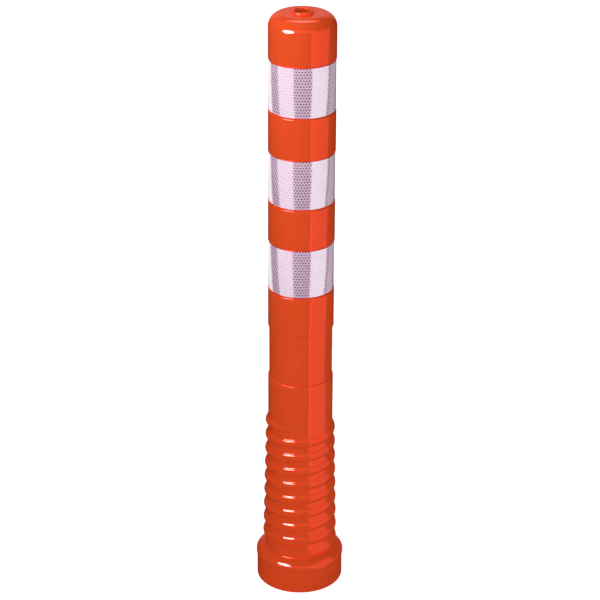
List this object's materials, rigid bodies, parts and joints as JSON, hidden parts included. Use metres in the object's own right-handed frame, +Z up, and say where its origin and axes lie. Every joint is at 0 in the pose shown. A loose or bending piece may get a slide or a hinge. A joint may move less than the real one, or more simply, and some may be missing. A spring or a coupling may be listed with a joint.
{
  "type": "flexible marker post",
  "caption": "Self-righting flexible marker post: domed hollow tube with reflective bands, a helically ribbed foot that bends, and a bolt-down collar.",
  "frame": {"origin": "centre of the collar's underside, on the post's axis", "axes": "+Z up along the post's axis, -Y towards the side that the picture shows, +X to the viewer's right"},
  "size_m": [0.1102, 0.1102, 0.75],
  "materials": {
    "orange_polyurethane": "glossy, moulded through in red-orange",
    "reflective_sheet": "clear-faced white prismatic sheet",
    "zinc_plated_steel": "satin zinc plate"
  },
  "bodies": {
    "collar": {"base_collar": "orange_polyurethane", "steel_base_plate": "zinc_plated_steel", "bolt_bush": "zinc_plated_steel"},
    "foot_01": {"ribbed_section_01": "orange_polyurethane"},
    "foot_02": {"ribbed_section_02": "orange_polyurethane"},
    "foot_03": {"ribbed_section_03": "orange_polyurethane"},
    "foot_04": {"ribbed_section_04": "orange_polyurethane"},
    "foot_05": {"ribbed_section_05": "orange_polyurethane"},
    "foot_06": {"ribbed_section_06": "orange_polyurethane"},
    "foot_07": {"ribbed_section_07": "orange_polyurethane"},
    "foot_08": {"ribbed_section_08": "orange_polyurethane"},
    "foot_09": {"ribbed_section_09": "orange_polyurethane"},
    "post": {"ribbed_section_10": "orange_polyurethane", "post_tube": "orange_polyurethane", "reflective_band_top": "reflective_sheet", "reflective_band_middle": "reflective_sheet", "reflective_band_bottom": "reflective_sheet"}
  },
  "joints": [
    {"name": "sideways_bend", "type": "hinge", "parent": "collar", "child": "foot_01", "pos_m": [0, 0, 0.0552], "axis": [0, 1, 0], "range_deg": [-14, 14], "stiffness_Nm_per_rad": 300, "deforming": ["ribbed_section_01"]},
    {"name": "fore_aft_bend", "type": "hinge", "parent": "foot_01", "child": "foot_02", "pos_m": [0, 0, 0.0736], "axis": [1, 0, 0], "range_deg": [-14, 14], "stiffness_Nm_per_rad": 300, "deforming": ["ribbed_section_02"]},
    {"name": "sideways_bend_2", "type": "hinge", "parent": "foot_02", "child": "foot_03", "pos_m": [0, 0, 0.092], "axis": [0, 1, 0], "range_deg": [-14, 14], "stiffness_Nm_per_rad": 300, "deforming": ["ribbed_section_03"]},
    {"name": "fore_aft_bend_2", "type": "hinge", "parent": "foot_03", "child": "foot_04", "pos_m": [0, 0, 0.1104], "axis": [1, 0, 0], "range_deg": [-14, 14], "stiffness_Nm_per_rad": 300, "deforming": ["ribbed_section_04"]},
    {"name": "sideways_bend_3", "type": "hinge", "parent": "foot_04", "child": "foot_05", "pos_m": [0, 0, 0.1288], "axis": [0, 1, 0], "range_deg": [-14, 14], "stiffness_Nm_per_rad": 300, "deforming": ["ribbed_section_05"]},
    {"name": "fore_aft_bend_3", "type": "hinge", "parent": "foot_05", "child": "foot_06", "pos_m": [0, 0, 0.1472], "axis": [1, 0, 0], "range_deg": [-14, 14], "stiffness_Nm_per_rad": 300, "deforming": ["ribbed_section_06"]},
    {"name": "sideways_bend_4", "type": "hinge", "parent": "foot_06", "child": "foot_07", "pos_m": [0, 0, 0.1656], "axis": [0, 1, 0], "range_deg": [-14, 14], "stiffness_Nm_per_rad": 300, "deforming": ["ribbed_section_07"]},
    {"name": "fore_aft_bend_4", "type": "hinge", "parent": "foot_07", "child": "foot_08", "pos_m": [0, 0, 0.184], "axis": [1, 0, 0], "range_deg": [-14, 14], "stiffness_Nm_per_rad": 300, "deforming": ["ribbed_section_08"]},
    {"name": "sideways_bend_5", "type": "hinge", "parent": "foot_08", "child": "foot_09", "pos_m": [0, 0, 0.2024], "axis": [0, 1, 0], "range_deg": [-14, 14], "stiffness_Nm_per_rad": 300, "deforming": ["ribbed_section_09"]},
    {"name": "fore_aft_bend_5", "type": "hinge", "parent": "foot_09", "child": "post", "pos_m": [0, 0, 0.2208], "axis": [1, 0, 0], "range_deg": [-14, 14], "stiffness_Nm_per_rad": 300, "deforming": ["ribbed_section_10"]}
  ],
  "couplings": [
    {"joint": "sideways_bend_2", "follows": "sideways_bend", "ratio": 1},
    {"joint": "sideways_bend_3", "follows": "sideways_bend", "ratio": 1},
    {"joint": "sideways_bend_4", "follows": "sideways_bend", "ratio": 1},
    {"joint": "sideways_bend_5", "follows": "sideways_bend", "ratio": 1},
    {"joint": "fore_aft_bend_2", "follows": "fore_aft_bend", "ratio": 1},
    {"joint": "fore_aft_bend_3", "follows": "fore_aft_bend", "ratio": 1},
    {"joint": "fore_aft_bend_4", "follows": "fore_aft_bend", "ratio": 1},
    {"joint": "fore_aft_bend_5", "follows": "fore_aft_bend", "ratio": 1}
  ]
}
